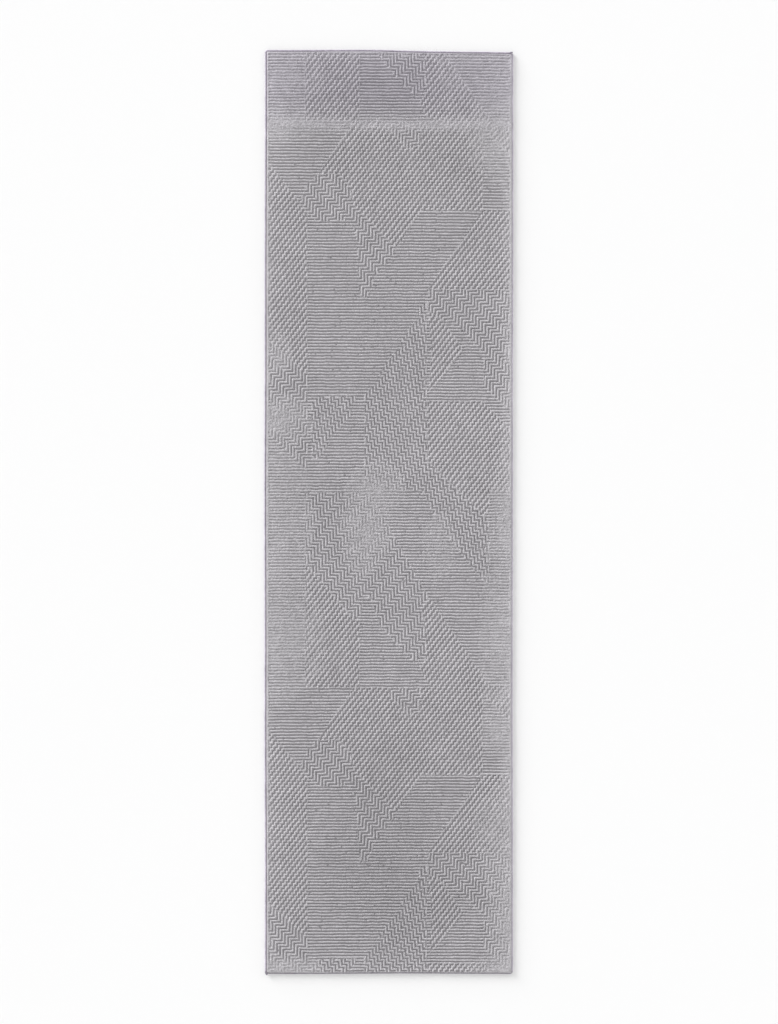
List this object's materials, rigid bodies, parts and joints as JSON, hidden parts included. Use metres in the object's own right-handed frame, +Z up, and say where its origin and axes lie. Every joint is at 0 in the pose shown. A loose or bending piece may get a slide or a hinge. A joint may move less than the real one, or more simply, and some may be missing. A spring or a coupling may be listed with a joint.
{
  "type": "runner rug",
  "caption": "Long narrow rug with a carved two-height pile on a woven ground, latex backing and serged edges.",
  "frame": {"origin": "centre of the underside, on the surface the rug lies on", "axes": "+Z up through the pile, +Y along the rug towards its head end, +X across it to the right"},
  "size_m": [0.808, 3, 0.011],
  "materials": {
    "backing": "latex back-sizing in a thin coat over the woven back, pale fawn, matt",
    "ground": "plain woven ground cloth of polyester warp and jute weft",
    "low_pile": "short dense looped pile at the bottom of the grooves, mid grey with a lilac cast",
    "raised_pile": "taller soft cut pile in ribs, light silver grey with a slight sheen",
    "label": "blank white woven satin tape",
    "serging": "close-wrapped overlock yarn, lilac grey, matt",
    "cord": "twisted cotton filler cord"
  },
  "bodies": {
    "root": {"latex_backing": "backing", "ground_cloth": "ground", "low_pile": "low_pile", "raised_pile": "raised_pile", "care_label": "label", "serging_right": "serging", "serging_head": "serging", "serging_left": "serging", "serging_foot": "serging", "filler_cord_right": "cord", "filler_cord_head": "cord", "filler_cord_left": "cord", "filler_cord_foot": "cord", "corner_knot_head_right": "serging", "corner_knot_foot_left": "serging"}
  },
  "joints": []
}
